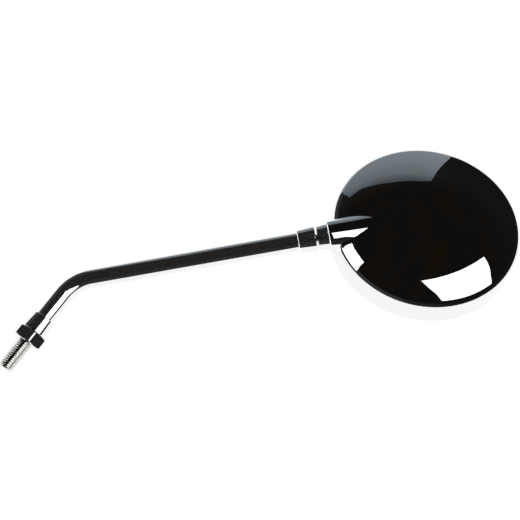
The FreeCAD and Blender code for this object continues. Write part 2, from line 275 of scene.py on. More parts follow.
def turned_metal(name, colour, shade, roughness, ring_scale):
    """Metal with turning rings across Z and a cloudy plate."""
    material, finish = new_finish(name)
    rings = finish.noise(finish.place((TURNING_SCALE, TURNING_SCALE, ring_scale)), 1, 3)
    cloud = finish.step(finish.noise(finish.place(), CLOUD_SCALE, 3), *CLOUD_SPREAD)
    shader = finish.node("ShaderNodeBsdfPrincipled", {}, {
        "Base Color": finish.blend(cloud, colour, shade),
        "Metallic": 1.0,
        "Roughness": roughness + cloud * CLOUD_DULLING,
        "Normal": finish.bump(rings, TURNING_HEIGHT),
    })
    finish.surface(shader)
    return material


plated_steel = turned_metal("plated_steel", colour=(0.80, 0.80, 0.785, 1), shade=(0.68, 0.68, 0.65, 1),
                            roughness=0.14, ring_scale=6000)
spring_steel = turned_metal("spring_steel", colour=(0.24, 0.24, 0.25, 1), shade=(0.14, 0.13, 0.13, 1),
                            roughness=0.32, ring_scale=4000)
print("Made", plated_steel.name, "and", spring_steel.name)

# %% [markdown]
# ## Rubber, nylon and foam
# None of these is shiny. Rubber is nearly black with a fine moulded grain and a grey bloom. Nylon is a
# milky white that light sinks into a little. Foam is black with round cells, which a Voronoi pattern
# gives, and the pit of each cell is painted darker than its walls as painted shade.

# %% Soft and moulded finishes
BLOOM_SCALE = 90
BLOOM_SPREAD = (0.4, 0.75)
BLOOM_DULLING = 0.12
MILK_DEPTH = 0.002                  # how far light sinks into a milky plastic
# the colour of the pits is painted shade, darker than the cell walls
FOAM_PIT_SHADE = (0.035, 0.035, 0.036, 1)
FOAM_WALL = (0.09, 0.09, 0.092, 1)
FOAM_CELLS = 1100                   # in a metre
FOAM_DEPTH = 0.0002
FOAM_ROUGHNESS = 0.85


def moulded(name, colour, bloom, roughness, grain_scale, grain_depth, milk=0.0):
    """Grained plastic or rubber with patches of bloom. Milk is the share of light that sinks in."""
    material, finish = new_finish(name)
    where = finish.place()
    patches = finish.step(finish.noise(where, BLOOM_SCALE, 4), *BLOOM_SPREAD)
    grain = finish.noise(where, grain_scale, 2)
    shader = finish.node("ShaderNodeBsdfPrincipled", {}, {
        "Base Color": finish.blend(patches, colour, bloom),
        "Roughness": roughness + patches * BLOOM_DULLING,
        "Normal": finish.bump(grain, grain_depth),
        "Subsurface Weight": milk,
        "Subsurface Scale": MILK_DEPTH,
    })
    finish.surface(shader)
    return material


def foam_finish():
    """Black foam with cells about a millimetre across, and painted shade in the pits of the cells."""
    material, finish = new_finish("foam")
    cells = finish.node("ShaderNodeTexVoronoi", {}, {"Vector": finish.place(), "Scale": FOAM_CELLS})
    shader = finish.node("ShaderNodeBsdfPrincipled", {}, {
        # painted shade: the pit of each cell is darker than its walls
        "Base Color": finish.blend(cells, FOAM_PIT_SHADE, FOAM_WALL),
        "Roughness": FOAM_ROUGHNESS,
        "Normal": finish.bump(cells, FOAM_DEPTH),
    })
    finish.surface(shader)
    return material


rubber = moulded("rubber", colour=(0.012, 0.012, 0.013, 1), bloom=(0.035, 0.035, 0.037, 1),
                 roughness=0.48, grain_scale=2600, grain_depth=0.00003)
nylon = moulded("nylon", colour=(0.80, 0.79, 0.73, 1), bloom=(0.86, 0.85, 0.80, 1),
                roughness=0.38, grain_scale=1500, grain_depth=0.00002, milk=0.3)
foam = foam_finish()
print("Made", rubber.name, nylon.name, foam.name)

# %% [markdown]
# ## Silvered glass
# A mirror is a film of silver behind clear glass. Seen from the front the two act as one smooth metal
# with a faint green tint, so one metal shader does the work, with a clear coat for the glass in front.
# A little dust keeps it from looking empty.

# %% Silvered glass
SILVER = (0.76, 0.80, 0.80, 1)
DUST = (0.62, 0.64, 0.63, 1)
DUST_SCALE = 900
DUST_SPREAD = (0.66, 0.86)
DUST_COVER = 0.35                   # how far the dust hides the silver
DUST_DULLING = 0.05
SILVER_POLISH = 0.008
GLASS_COAT = 0.6
GLASS_POLISH = 0.01


def silvered_glass_finish():
    """Silver behind clear glass, with a trace of dust."""
    material, finish = new_finish("silvered_glass")
    dust = finish.step(finish.noise(finish.place(), DUST_SCALE, 3), *DUST_SPREAD)
    shader = finish.node("ShaderNodeBsdfPrincipled", {}, {
        "Base Color": finish.blend(dust * DUST_COVER, SILVER, DUST),
        "Metallic": 1.0,
        "Roughness": SILVER_POLISH + dust * DUST_DULLING,
        "Coat Weight": GLASS_COAT,
        "Coat Roughness": GLASS_POLISH,
    })
    finish.surface(shader)
    return material


silvered_glass = silvered_glass_finish()
print("Made", silvered_glass.name)

# %% [markdown]
# ## Give every solid its finish
# The record says which finish each solid takes, so the loop reads it from there. A solid's own mesh is
# left alone: only its material slots change. The same two tables tell a new piece what to wear and what
# to move with.

# %% Finishes onto the solids
FINISHES = {
    "plated_steel": plated_steel,
    "chromed_steel": chromed_steel,
    "chromed_plastic": chromed_plastic,
    "nylon": nylon,
    "spring_steel": spring_steel,
    "silvered_glass": silvered_glass,
    "rubber": rubber,
    "foam": foam,
}
record = frame["record"]
SLOTS = {subpart["node"]: subpart["material_slot"] for subpart in record["subparts"]}
BODIES = {node: body for body, members in record["behaviour"]["bodies"].items() for node in members}
for node, slot in SLOTS.items():
    nodes[node].data.materials.clear()
    nodes[node].data.materials.append(FINISHES[slot])
print("Finished", len(SLOTS), "solids")

# %% [markdown]
# ## Pieces that stand for a solid
# Some solids have plain corners where the real piece has softened ones, and in chrome a softened corner
# is a bright line. Such a piece is built again as a mesh in the solid's place. Nearly all are grids of
# points that close on themselves both ways, like the skin of a ring, and every point carries the exact
# direction that the surface faces, so the chrome stays smooth with few faces.

# %% Skins
def stand_in(name, node, mesh, stands_for=True):
    """Object for a mesh with a solid's finish and body. It stands for the solid or adds to it."""
    piece = bpy.data.objects.new(name, mesh)
    scene.collection.objects.link(piece)
    mesh.materials.append(FINISHES[SLOTS[node]])
    if stands_for:
        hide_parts(node)
    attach(piece, BODIES[node])
    print(name, "has", len(mesh.polygons), "faces")
    return piece


def skin(name, node, rows, stands_for=True):
    """Piece from rows of (point, facing). The last row joins the first, and each row's ends meet."""
    width = len(rows[0])
    faces = []
    for row in range(len(rows)):
        ahead = (row + 1) % len(rows)
        for column in range(width):
            beside = (column + 1) % width
            faces.append((row * width + column, ahead * width + column,
                          ahead * width + beside, row * width + beside))
    mesh = bpy.data.meshes.new(name)
    mesh.from_pydata([point for row in rows for point, facing in row], [], faces)
    mesh.shade_smooth()
    mesh.normals_split_custom_set_from_vertices([facing for row in rows for point, facing in row])
    return stand_in(name, node, mesh, stands_for)


print("Skin helpers are ready")

# %% [markdown]
# ## Turned pieces with softened corners
# A turned piece is a section spun round an axis. Each corner of the section is a radius, a height and a
# rounding, and becomes a short arc. The two sides that meet there know which way they face, so the arc
# only has to swing from one facing to the other about its centre.

# %% Sections and spinning
ARC_STEPS = 5
SPIN_STEPS = 112


def rounded(corners):
    """Points and facings of a section listed with its inside on the left, each corner made an arc."""
    section = []
    for index, (radius, height, rounding) in enumerate(corners):
        here = Vector((radius, height))
        before = here - Vector(corners[index - 1][:2])
        after = Vector(corners[(index + 1) % len(corners)][:2]) - here
        first = Vector((before.y, -before.x)).normalized()
        last = Vector((after.y, -after.x)).normalized()
        bend = math.copysign(rounding, before.x * after.y - before.y * after.x)
        centre = here - (first + last) * bend / (1 + first.dot(last))
        for step in range(ARC_STEPS + 1):
            facing = first.lerp(last, step / ARC_STEPS).normalized()
            section.append((centre + facing * bend, facing))
    return section


def turned(name, node, corners, place):
    """Piece spun about the Z axis of a place."""
    section = rounded(corners)
    rows = []
    for step in range(SPIN_STEPS):
        spin = place @ Matrix.Rotation(2 * math.pi * step / SPIN_STEPS, 4, "Z")
        rows.append([(spin @ Vector((point.x, 0, point.y)),
                      spin.to_3x3() @ Vector((facing.x, 0, facing.y))) for point, facing in section])
    return skin(name, node, rows)


def axis_place(origin, axis):
    """Place whose Z axis runs along an axis from an origin."""
    return Matrix.Translation(origin) @ axis.to_track_quat("Z", "Y").to_matrix().to_4x4()


print("Turning helpers are ready")

# %% [markdown]
# ## Collar, ferrule and cap
# The collar sits over the foot of the tube, the ferrule on its head end, and the cap closes the ball joint
# in the head's boss. The collar's height and foot come from its solid's box. The other two lie on the
# stem's upper run and are measured from the centre of the ball, back along the stem.

# %% Collar, ferrule and cap
EDGE = 0.0003                       # softening of a visible corner
INNER_EDGE = 0.0001                 # of a corner inside
RIM_EDGE = 0.0005                   # of the ferrule's hollow end, which is polished rounder
BACK_EDGE = 0.0006                  # and of its other end
TUBE_FIT = 0.00005                  # between the tube and what sits on it
COLLAR_TOP = 0.0072                 # outer radius
COLLAR_FLOOR = 0.003                # thickness under the tube
COLLAR_HOLE = 0.00455               # radius of the hole for the stud
FERRULE_RIM = (0.0083, 0.01086)     # outer radius, distance from the ball
FERRULE_BACK = (0.0074, 0.02266)
FERRULE_HOLLOW = 0.01204            # where its hollow end reaches the tube, from the ball
CAP_FACE = (0.0078, 0.0100)
CAP_ROOT = (0.0086, 0.0030)
CAP_MOUTH = 0.0064
CAP_LIP = (0.0052, 0.00484)         # opening that keeps the ball in
CAP_SPIGOT = (0.00785, 0.0)
CAP_SOCKET = 0.0071                 # radius of the hollow round the liner

tube_low, tube_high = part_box("stem_tube")
TUBE_RADIUS = (tube_high.y - tube_low.y) / 2
collar_low, collar_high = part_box("lower_collar")
collar_foot = (collar_high.x - collar_low.x) / 2
tube_seat = TUBE_RADIUS + TUBE_FIT
collar = turned("collar", "lower_collar", [
    (COLLAR_HOLE, collar_low.z, INNER_EDGE),
    (collar_foot, collar_low.z, EDGE),
    (COLLAR_TOP, collar_high.z, EDGE),
    (tube_seat, collar_high.z, INNER_EDGE),
    (tube_seat, collar_low.z + COLLAR_FLOOR, INNER_EDGE),
    (COLLAR_HOLE, collar_low.z + COLLAR_FLOOR, INNER_EDGE),
], Matrix())

joint_place = axis_place(BALL, -STEM)
ferrule = turned("ferrule", "upper_ferrule", [
    (*FERRULE_RIM, RIM_EDGE),
    (*FERRULE_BACK, BACK_EDGE),
    (tube_seat, FERRULE_BACK[1], INNER_EDGE),
    (tube_seat, FERRULE_HOLLOW, INNER_EDGE),
], joint_place)
turned("cap", "joint_cap", [
    (*CAP_SPIGOT, INNER_EDGE),
    (CAP_SPIGOT[0], CAP_ROOT[1], INNER_EDGE),
    (*CAP_ROOT, EDGE),
    (*CAP_FACE, EDGE),
    (CAP_MOUTH, CAP_FACE[1], EDGE),
    (*CAP_LIP, INNER_EDGE),
    (CAP_SOCKET, CAP_SPIGOT[1], INNER_EDGE),
], joint_place)

# %% [markdown]
# ## The bent tube
# The tube runs straight up from the collar, bends once, and runs straight to the ball joint. Where the two
# runs would meet follows from the ball's place and the stem's direction. Rings of points stand along that
# line, only as many as the bend needs, since a straight run is exact with a ring at each end.

# %% Tube
BEND_RADIUS = 0.025                 # of the tube's middle line
TUBE_BORE = 0.0045
BEND_STEPS = 40
RING_STEPS = 96
LEVEL = Vector((0, 1, 0))           # square to the plane of the bend

apex = Vector((0, 0, BALL.z - BALL.x * STEM.z / STEM.x))
bend_angle = STEM.angle(UP)
bend_centre = apex + Vector((BEND_RADIUS, 0, -BEND_RADIUS * math.tan(bend_angle / 2)))
tube_end = apex + STEM * ((tube_high.x - TUBE_RADIUS * STEM.z) / STEM.x)


def ring(centre, along, radius, outward):
    """Ring of points about a place on the tube, which face out of it or into it."""
    side = along.cross(LEVEL)
    points = []
    for step in range(RING_STEPS):
        angle = 2 * math.pi * step / RING_STEPS
        facing = side * math.cos(angle) + LEVEL * math.sin(angle)
        points.append((centre + facing * radius, facing * outward))
    return points


stations = [(Vector((0, 0, tube_low.z)), UP)]
for step in range(BEND_STEPS + 1):
    angle = bend_angle * step / BEND_STEPS
    along = UP * math.cos(angle) + Vector((math.sin(angle), 0, 0))
    stations.append((bend_centre + along.cross(LEVEL) * BEND_RADIUS, along))
stations.append((tube_end, STEM))
outside = [ring(centre, along, TUBE_RADIUS, 1) for centre, along in stations]
inside = [ring(centre, along, TUBE_BORE, -1) for centre, along in reversed(stations)]
tube = skin("tube", "stem_tube", outside + inside)

# %% [markdown]
# ## The lock nut
# A nut is a hexagon with both ends turned to a cone, and the cone leaves a curved edge on every flat. The
# outline is walked round once, with a small arc at each corner. At each of its points a section is drawn
# as for a turned piece: the cone's slope decides how far the flat reaches up and down there.

# %% Lock nut
ACROSS_FLATS = 0.0184
NUT_TURN = math.radians(7)          # one corner, from +X
NUT_CORNER = 0.0016                 # rounding of the upright corners
NUT_CONE = math.tan(math.radians(30))
NUT_FACE = 0.0088                   # radius of the flat ring inside the cone
NUT_BORE = 0.00455
NUT_SINK = 0.0006                   # countersink of the thread
SIXTH = math.pi / 3                 # of a turn, from corner to corner
FLAT_STEPS = 12
FLAT_FACING = 0.95                  # a slope this far outward belongs to a flat, not to a cone

nut_low, nut_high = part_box("lock_nut")


def hexagon():
    """Points and facings round the nut, an arc at each corner and steps along each flat."""
    corner_centre = ACROSS_FLATS / math.sqrt(3) - NUT_CORNER / math.cos(SIXTH / 2)
    outline = []
    for side in range(6):
        middle = NUT_TURN + side * SIXTH
        centre = Vector((math.cos(middle), math.sin(middle))) * corner_centre
        for step in range(ARC_STEPS + 1):
            angle = middle + (step / ARC_STEPS - 0.5) * SIXTH
            facing = Vector((math.cos(angle), math.sin(angle)))
            outline.append((centre + facing * NUT_CORNER, facing))
        ahead = middle + SIXTH
        following = Vector((math.cos(ahead), math.sin(ahead))) * corner_centre
        start, end = outline[-1][0], following + facing * NUT_CORNER
        outline += [(start.lerp(end, step / FLAT_STEPS), facing) for step in range(1, FLAT_STEPS)]
    return outline


rows = []
for point, facing in hexagon():
    reach = point.length
    outward = point / reach
    drop = (reach - NUT_FACE) * NUT_CONE
    row = []
    for spot, slope in rounded([
        (NUT_BORE, nut_low.z + NUT_SINK, INNER_EDGE),
        (NUT_BORE + NUT_SINK, nut_low.z, INNER_EDGE),
        (NUT_FACE, nut_low.z, EDGE),
        (reach, nut_low.z + drop, INNER_EDGE),
        (reach, nut_high.z - drop, INNER_EDGE),
        (NUT_FACE, nut_high.z, EDGE),
        (NUT_BORE + NUT_SINK, nut_high.z, INNER_EDGE),
        (NUT_BORE, nut_high.z - NUT_SINK, INNER_EDGE),
    ]):
        sideways = facing if slope.x > FLAT_FACING else outward
        place = (outward * spot.x).to_3d() + UP * spot.y
        row.append((place, (sideways * slope.x).to_3d() + UP * slope.y))
    rows.append(row)
nut = skin("nut", "lock_nut", rows)

# %% [markdown]
# ## The section of the thread
# A thread is one short section, crest, flank, root and flank, that is carried round the stud and climbs by
# one pitch in a turn. Drawing a single pitch would leave its two ends sharp, so three are drawn with all
# their corners rounded, and the middle one is kept.

# %% Thread section
STUD_RADIUS = 0.005
THREAD_PITCH = 0.0015
THREAD_DEPTH = 0.00092
THREAD_CREST = THREAD_PITCH / 8
THREAD_ROOT = THREAD_PITCH / 4
THREAD_ROUND = 0.00004


def thread_section():
    """Points of one pitch of the thread, the middle one of three."""
    corners = []
    for turn_number in range(-1, 2):
        height = turn_number * THREAD_PITCH
        root = STUD_RADIUS - THREAD_DEPTH
        corners += [
            (STUD_RADIUS, height - THREAD_CREST / 2, THREAD_ROUND),
            (STUD_RADIUS, height + THREAD_CREST / 2, THREAD_ROUND),
            (root, height + THREAD_PITCH / 2 - THREAD_ROOT / 2, THREAD_ROUND),
            (root, height + THREAD_PITCH / 2 + THREAD_ROOT / 2, THREAD_ROUND),
        ]
    points = [point for point, facing in rounded(corners)]
    third = len(points) // 3
    return points[third:2 * third]


print("One pitch has", len(thread_section()), "points")

# %% [markdown]
# ## The threaded stud
# The section's last point lies where its first point comes a turn later, so the band closes on itself. It
# starts below the tip and ends inside the nut, and two flat cuts trim it. The tip is turned down to a
# cone, and a plain shank inside the nut and the tube carries it.

# %% Threaded stud
THREAD_STEPS = 72                   # in one turn
THREAD_START = 1.5                  # turns below the tip
THREAD_SPARE = 3                    # turns more than the bare stud shows
THREAD_TOP = 0.0                    # just under the nut
TIP_CHAMFER = 0.0012
SHANK_RADIUS = 0.00445
CUT_MERGE = 1e-7
SHARP = math.radians(28)

stud_low, stud_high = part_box("threaded_stud")


def thread_shape(shape):
    """The band of thread, trimmed at the stud's tip and under the nut."""
    section = thread_section()
    turns = math.ceil((THREAD_TOP - stud_low.z) / THREAD_PITCH) + THREAD_SPARE
    start = stud_low.z - THREAD_START * THREAD_PITCH
    grid = []
    for step in range(turns * THREAD_STEPS + 1):
        angle = 2 * math.pi * step / THREAD_STEPS
        rise = start + THREAD_PITCH * step / THREAD_STEPS
        row = []
        for point in section:
            height = rise + point.y
            radius = min(point.x, STUD_RADIUS - TIP_CHAMFER + max(0, height - stud_low.z))
            row.append(shape.verts.new((radius * math.cos(angle), radius * math.sin(angle), height)))
        grid.append(row)
    for step in range((turns - 1) * THREAD_STEPS):
        low, high = grid[step], grid[step + 1]
        low = low + [grid[step + THREAD_STEPS][0]]
        high = high + [grid[step + 1 + THREAD_STEPS][0]]
        for a, b, c, d in zip(low, high, high[1:], low[1:]):
            shape.faces.new((a, b, c, d))
    for height, side in ((stud_low.z, -1), (THREAD_TOP, 1)):
        cut = bmesh.ops.bisect_plane(
            shape, geom=shape.verts[:] + shape.edges[:] + shape.faces[:], dist=CUT_MERGE,
            plane_co=(0, 0, height), plane_no=(0, 0, side), clear_outer=True)
        rim = [edge for edge in cut["geom_cut"] if isinstance(edge, bmesh.types.BMEdge)]
        bmesh.ops.contextual_create(shape, geom=rim)
    bmesh.ops.create_cone(shape, cap_ends=True, segments=RING_STEPS, radius1=SHANK_RADIUS,
                          radius2=SHANK_RADIUS, depth=stud_high.z,
                          matrix=Matrix.Translation((0, 0, stud_high.z / 2)))


shape = bmesh.new()
thread_shape(shape)
stud_mesh = bpy.data.meshes.new("stud")
shape.to_mesh(stud_mesh)
shape.free()
stud_mesh.shade_smooth()
stud_mesh.set_sharp_from_angle(angle=SHARP)
stud = stand_in("stud", "threaded_stud", stud_mesh)

# %% [markdown]
# ## The rubber ring
# The glass is held in a ring of rubber with a U section. Moulded rubber has no sharp corner, and its front
# lip shows as a soft black line round the mirror, so the section is rounded well.

# %% Rubber ring
RING_OUTER = 0.05895                # radius of its outside
RING_GROOVE = 0.05765               # of the groove that takes the glass
RING_LIP = 0.05615                  # and of its two lips
LIP_THICKNESS = 0.0010
LIP_ROUND = 0.0004

turned("rubber_ring", "glass_gasket", [
    (RING_LIP, RING_FRONT, LIP_ROUND),
    (RING_OUTER, RING_FRONT, LIP_ROUND),
    (RING_OUTER, RING_BACK, INNER_EDGE),
    (RING_LIP, RING_BACK, LIP_ROUND),
    (RING_LIP, RING_BACK - LIP_THICKNESS, LIP_ROUND),
    (RING_GROOVE, RING_BACK - LIP_THICKNESS, INNER_EDGE),
    (RING_GROOVE, RING_FRONT + LIP_THICKNESS, INNER_EDGE),
    (RING_LIP, RING_FRONT + LIP_THICKNESS, LIP_ROUND),
], axis_place(HEAD, DOME))

# %% [markdown]
# ## The neck of the head
# The boss is a flared neck that grows out of the dome and ends square to the ball joint. The dome and the
# neck are one solid, but a light that should only show on the neck needs a piece of its own to aim at. So
# the plated skin of the neck is a sleeve, a hair above the solid. Each line of it turns round the edge of
# the mouth and runs down the cone until it is well inside the dome's wall.

# %% Neck
NECK_RAKE = math.radians(3.0)       # lean of the neck's axis out of the plane of the dome's foot
NECK_MOUTH = 0.0030                 # from the ball's centre, towards the stem
NECK_RADIUS = 0.0100                # at its mouth
NECK_LENGTH = 0.034
NECK_GROWTH = 0.0026                # of its radius over its length
NECK_FLARE = NECK_GROWTH / NECK_LENGTH
NECK_STEP = 0.0001                  # of the walk to its end
NECK_ROUND = 0.0007                 # edge of its mouth
NECK_LIFT = 0.000015                # of the sleeve above the solid
NECK_DEPTH = 0.0002                 # how far the sleeve reaches into the solid
NECK_SINK = 0.0016                  # and into the dome's wall
DOME_RADIUS = 0.060                 # at its foot
DOME_HEIGHT = 0.014                 # of its crown above the foot

dome_curvature = (DOME_RADIUS ** 2 + DOME_HEIGHT ** 2) / (2 * DOME_HEIGHT)
neck_axis = DOME * math.sin(NECK_RAKE) - TO_STEM * math.cos(NECK_RAKE)
mouth_centre = BALL - STEM * NECK_MOUTH
neck_place = axis_place(mouth_centre, neck_axis).to_3x3()


def inside_dome(point):
    """Depth of a point below the dome or its side wall, whichever is nearer."""
    arm = point - HEAD
    below_crown = dome_curvature - (arm - DOME * (DOME_HEIGHT - dome_curvature)).length
    return min(below_crown, DOME_RADIUS - (arm - DOME * arm.dot(DOME)).length)


def neck_line(outward):
    """Points and facings of one line of the sleeve: over the mouth's edge, along the neck and back."""
    def at(along, lift):
        return mouth_centre + neck_axis * along + outward * (NECK_RADIUS + NECK_FLARE * along + lift)

    lean = outward.dot(STEM)
    start = -lean * NECK_RADIUS / (neck_axis.dot(STEM) + lean * NECK_FLARE)
    end = start
    while end < NECK_LENGTH and inside_dome(at(end, 0)) < NECK_SINK:
        end += NECK_STEP
    facing = (outward - neck_axis * NECK_FLARE).normalized()
    centre = at(start, 0) + (STEM - facing) * NECK_ROUND / (1 - STEM.dot(facing))
    line = []
    for step in range(ARC_STEPS + 1):
        swing = (-STEM).lerp(facing, step / ARC_STEPS).normalized()
        line.append((centre + swing * (NECK_ROUND + NECK_LIFT), swing))
    return line + [(at(end, NECK_LIFT), facing), (at(end, -NECK_DEPTH), -facing), (centre, -facing)]


rows = []
for step in range(SPIN_STEPS):
    angle = 2 * math.pi * step / SPIN_STEPS
    rows.append(neck_line(neck_place @ Vector((math.cos(angle), math.sin(angle), 0))))
neck = skin("neck", "housing_shell", rows, stands_for=False)

# %% [markdown]
# ## The crown of the dome
# A solid's mesh draws a dome as rings of triangles that shrink to a single point, and the facing at that
# point is often wrong. In a black reflection it shows as a pale speck. A lens of plate, far thinner than a
# hair above the dome, covers the point: its rings lie on the same sphere and face straight out of it.

# %% Crown
CROWN_RADIUS = 0.005
CROWN_HOLE = 0.00001                # the lens is a ring too, with a hole too small to see
CROWN_RINGS = 10
CROWN_LIFT = 0.000004               # of its rings above the solid
CROWN_DEPTH = 0.0002                # of its underside below it

crown_place = axis_place(HEAD + DOME * (DOME_HEIGHT - dome_curvature), DOME)
crown_width = CROWN_RADIUS - CROWN_HOLE
under = [(CROWN_HOLE, -1), (CROWN_RADIUS, -1)]
over = [(CROWN_RADIUS - crown_width * number / CROWN_RINGS, 1) for number in range(CROWN_RINGS + 1)]
rows = []
for step in range(RING_STEPS):
    spin = crown_place @ Matrix.Rotation(2 * math.pi * step / RING_STEPS, 4, "Z")
    line = []
    for radius, side in under + over:
        lean = radius / dome_curvature
        out = spin.to_3x3() @ Vector((math.sin(lean), 0, math.cos(lean)))
        level = dome_curvature + (CROWN_LIFT if side > 0 else -CROWN_DEPTH)
        line.append((spin.translation + out * level, out * side))
    rows.append(line)
skin("crown", "housing_shell", rows, stands_for=False)

# %% [markdown]
# ## The studio
# Chrome shows whatever stands around it. The picture's chrome is almost black, with crisp white shapes:
# a dark room over a white table, and a few soft boxes. So the world is white to the camera and to shiny
# surfaces, a black tent covers the side that the dome faces, and glowing cards hang inside it. Only
# shiny surfaces see the tent and the cards. Matt ones get a softer light from all round.

# %% World
WHITE = (1, 1, 1, 1)
ROOM_LIGHT = 0.75                   # what matt surfaces get from all round

world = bpy.data.worlds.new("studio")
scene.world = world
air = Finish(world)
in_view = air.node("ShaderNodeLightPath").out("Is Camera Ray")
mirrored = in_view.out("Is Glossy Ray")
through = in_view.out("Is Transmission Ray")
seen = in_view.combine("MAXIMUM", in_view, mirrored.combine("MAXIMUM", mirrored, through))
air.surface(air.node("ShaderNodeBackground", {}, {
    "Color": WHITE, "Strength": ROOM_LIGHT + seen * (1 - ROOM_LIGHT)}))
print("World lights matt surfaces at", ROOM_LIGHT)

# %% [markdown]
# ## The floor
# The mirror hangs over a pale floor, well below the stud, that only takes a soft shadow. A hard edge would
# show against the white world, so a Mix Shader thins the floor out to clear towards its rim.

# %% Floor
FLOOR_HEIGHT = -0.12
FLOOR_RADIUS = 0.75
FLOOR_FADE = 0.40                   # it thins out from here to its edge
FLOOR_STEPS = 96
FLOOR_COLOUR = (0.90, 0.90, 0.895, 1)
FLOOR_PALE = (0.94, 0.94, 0.935, 1)
FLOOR_SCALE = 14                    # of its faint clouds


def stage_mesh(name, build):
    """Mesh object that belongs to the studio. Build fills its bmesh."""
    shape = bmesh.new()
    build(shape)
    mesh = bpy.data.meshes.new(name)
    shape.to_mesh(mesh)
    shape.free()
    thing = bpy.data.objects.new(name, mesh)
    scene.collection.objects.link(thing)
    return thing


floor_middle = Vector((HEAD.x / 2, 0, FLOOR_HEIGHT))
floor = stage_mesh("floor", lambda shape: bmesh.ops.create_circle(
    shape, cap_ends=True, segments=FLOOR_STEPS, radius=FLOOR_RADIUS,
    matrix=Matrix.Translation(floor_middle)))
floor.visible_glossy = False        # shiny surfaces see the white world in its place
floor_material, ground = new_finish("pale_floor")
away = ground.vector("DISTANCE", ground.place(), floor_middle).out("Value")
fade = ground.step(away, FLOOR_FADE, FLOOR_RADIUS)
clouds = ground.noise(ground.place(), FLOOR_SCALE, 3)
paint = ground.node("ShaderNodeBsdfDiffuse", {}, {"Color": ground.blend(clouds, FLOOR_COLOUR, FLOOR_PALE)})
clear = ground.node("ShaderNodeBsdfTransparent")
ground.surface(ground.node("ShaderNodeMixShader", {}, {0: fade, 1: paint, 2: clear}))
floor.data.materials.append(floor_material)
print("Floor at", FLOOR_HEIGHT)

# %% [markdown]
# ## Places in the studio
# Places are given as seen from the head: a tilt away from the dome's axis, and a turn about it that
# starts at the stem, both in degrees. In a large room only the direction of a thing decides where it shows
# in a small dome, so two angles are enough. Sides may be bowed, because a straight edge looks bent in a
# dome, and a straight window there needs a bent card.

# %% Places
CARD_DISTANCE = 1.2
BOW_STEPS = 10


def studio_place(tilt, around, distance=CARD_DISTANCE):
    """Point at a tilt from the dome's axis and a turn about it from the stem, in degrees."""
    lean, swing = math.radians(tilt), math.radians(around)
    side = TO_STEM * math.cos(swing) + ACROSS * math.sin(swing)
    return HEAD + (DOME * math.cos(lean) + side * math.sin(lean)) * distance


def bowed(places):
    """Edge of a card whose places are its corners and, between them, a point on each side's bow."""
    edge = []
    for index in range(0, len(places), 2):
        start, bow, end = (studio_place(*places[(index + step) % len(places)]) for step in range(3))
        for step in range(BOW_STEPS):
            t = step / BOW_STEPS
            edge.append(start * ((1 - t) * (1 - 2 * t)) + bow * (4 * t * (1 - t))
                        + end * (t * (2 * t - 1)))
    return edge


print("Places lie", CARD_DISTANCE, "m from the head")

# %% [markdown]
# ## Glowing cards
# A card is a thin shape with an edge of points, filled with a fan of triangles from its middle. Hiding it
# from all but mirror-like rays keeps it out of the picture and stops it from lighting what is matt. Light
# linking then picks the pieces that see it. A piece left out would still see a black card, so the card's
# material adds its glow to a clear shader.

# %% Cards
def reflected_only(thing):
    """Hides a stage object from everything but mirror-like rays."""
    thing.visible_camera = False
    thing.visible_diffuse = False
    thing.visible_shadow = False
    thing.visible_transmission = False
    thing.visible_volume_scatter = False


def card(name, edge, material):
    """Card with an edge of points, seen only in reflection."""
    def build(shape):
        rim = [shape.verts.new(point) for point in edge]
        middle = shape.verts.new(sum(edge, Vector()) / len(edge))
        for a, b in zip(rim, rim[1:] + rim[:1]):
            shape.faces.new((a, b, middle))

    thing = stage_mesh(name, build)
    thing.data.materials.append(material)
    reflected_only(thing)
    return thing


def glow(name, strength):
    """Even white light from a card that is clear otherwise."""
    material, finish = new_finish(name)
    light = finish.node("ShaderNodeEmission", {}, {"Color": WHITE, "Strength": strength})
    clear = finish.node("ShaderNodeBsdfTransparent")
    finish.surface(finish.node("ShaderNodeAddShader", {}, {0: light, 1: clear}))
    return material


def shown_on(thing, *pieces):
    """Lets only these pieces see a card, through Blender's light linking."""
    seen_by = bpy.data.collections.new(thing.name + "_seen_by")
    for piece in pieces:
        seen_by.objects.link(piece)
    thing.light_linking.receiver_collection = seen_by


print("Card helpers are ready")

# %% [markdown]
# ## The black tent
# The tent is a part of a sphere about the head, open on the glass side, and its edge is where the black in
# the chrome ends. Black cloth is never quite black, so all its colour is painted light that the cloth gives
# off itself: a faint glow, painted glints in warm streaks that stand for lamps catching its folds, and a
# brighter painted glow towards its edge, most of all on the stem's side.

# %% Tent
TENT_RADIUS = 2.6
TENT_TILT = 101                     # degrees from the dome's axis
TENT_SEGMENTS = 96
TENT_RINGS = 180
FOLD_SCALE = (2.2, 2.2, 0.5)        # longest up and down
FOLD_SPREAD = (0.48, 0.72)
# The cloth's colours are painted light: a brighter painted glow out towards the edge, and painted glints in warm
# streaks further in.
EDGE_TILT = 68                      # from here outwards the cloth has the colour of its edge
FOLD_TILT = 50                      # and from here inwards its folds
CLOTH = (0.0054, 0.0048, 0.0045, 1)
CLOTH_FOLD_GLINT = (0.0090, 0.0054, 0.0025, 1)
CLOTH_EDGE_GLOW = (0.0165, 0.0165, 0.0158, 1)
CLOTH_FAR_EDGE_GLOW = (0.0072, 0.0070, 0.0065, 1)
CLOTH_NEAR_EDGE_GLOW = (0.034, 0.033, 0.032, 1)
ABREAST = 0.5                       # place on the edge's ramp that is neither far from the stem nor near
EDGE_GLOW_STOPS = [(0, CLOTH_FAR_EDGE_GLOW), (0.45, CLOTH_EDGE_GLOW), (0.86, CLOTH_EDGE_GLOW), (0.94, CLOTH_NEAR_EDGE_GLOW)]


def rise(finish, axis=DOME):
    """How far a point of the studio, seen from the head, lies along an axis: 1 straight along it."""
    aim = finish.vector("NORMALIZE", finish.vector("SUBTRACT", finish.place(), HEAD))
    return finish.vector("DOT_PRODUCT", aim, axis).out("Value")


def along_axis(tilt):
    """The same measure for a tilt in degrees."""
    return math.cos(math.radians(tilt))


